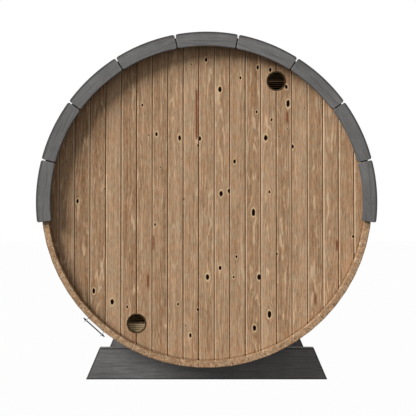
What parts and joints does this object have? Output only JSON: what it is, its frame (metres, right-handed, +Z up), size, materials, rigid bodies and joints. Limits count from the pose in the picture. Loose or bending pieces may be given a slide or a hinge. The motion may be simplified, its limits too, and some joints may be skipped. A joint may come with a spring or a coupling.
{
  "type": "barrel sauna",
  "caption": "Barrel-shaped wooden sauna cabin on low cradles, with boarded end walls, round vents, a shingled upper half, arched grey trim and a boarded door.",
  "frame": {"origin": "on the ground, under the middle of the barrel", "axes": "+Z up; the barrel's axis runs along Y, with the rear end with the vents at -Y and the door end at +Y; +X is to the right of someone who looks at the rear end"},
  "size_m": [2.0478, 1.8426, 2.14],
  "materials": {
    "heat_treated_wood": "planed softwood, heat treated, with knots",
    "grey_painted_wood": "opaque mid-grey paint, satin",
    "bitumen_shingle": "mineral granules on bitumen felt",
    "hoop_steel": "galvanised, dull",
    "black_steel": "matt black coating",
    "brown_plastic": "matt dark brown"
  },
  "bodies": {
    "root": {"staves_top": "heat_treated_wood", "staves_right": "heat_treated_wood", "staves_bottom": "heat_treated_wood", "staves_left": "heat_treated_wood", "rear_hoop": "hoop_steel", "middle_hoop": "hoop_steel", "front_hoop": "hoop_steel", "rear_hoop_bolt": "black_steel", "middle_hoop_bolt": "black_steel", "front_hoop_bolt": "black_steel", "rear_wall_left": "heat_treated_wood", "rear_wall_middle": "heat_treated_wood", "rear_wall_right": "heat_treated_wood", "upper_vent_grille": "brown_plastic", "lower_vent_grille": "brown_plastic", "upper_vent_slide": "heat_treated_wood", "lower_vent_slide": "heat_treated_wood", "front_wall_left": "heat_treated_wood", "front_wall_right": "heat_treated_wood", "front_wall_over_door": "heat_treated_wood", "front_wall_under_door": "heat_treated_wood", "door_jambs": "heat_treated_wood", "door_head": "heat_treated_wood", "door_sill": "heat_treated_wood", "door_boards": "heat_treated_wood", "door_ledges": "heat_treated_wood", "door_hinges": "black_steel", "door_pull": "heat_treated_wood", "shingles_left": "bitumen_shingle", "shingles_right": "bitumen_shingle", "ridge_strip": "bitumen_shingle", "rear_trim": "grey_painted_wood", "front_trim": "grey_painted_wood", "rear_cradle": "grey_painted_wood", "front_cradle": "grey_painted_wood"}
  },
  "joints": []
}
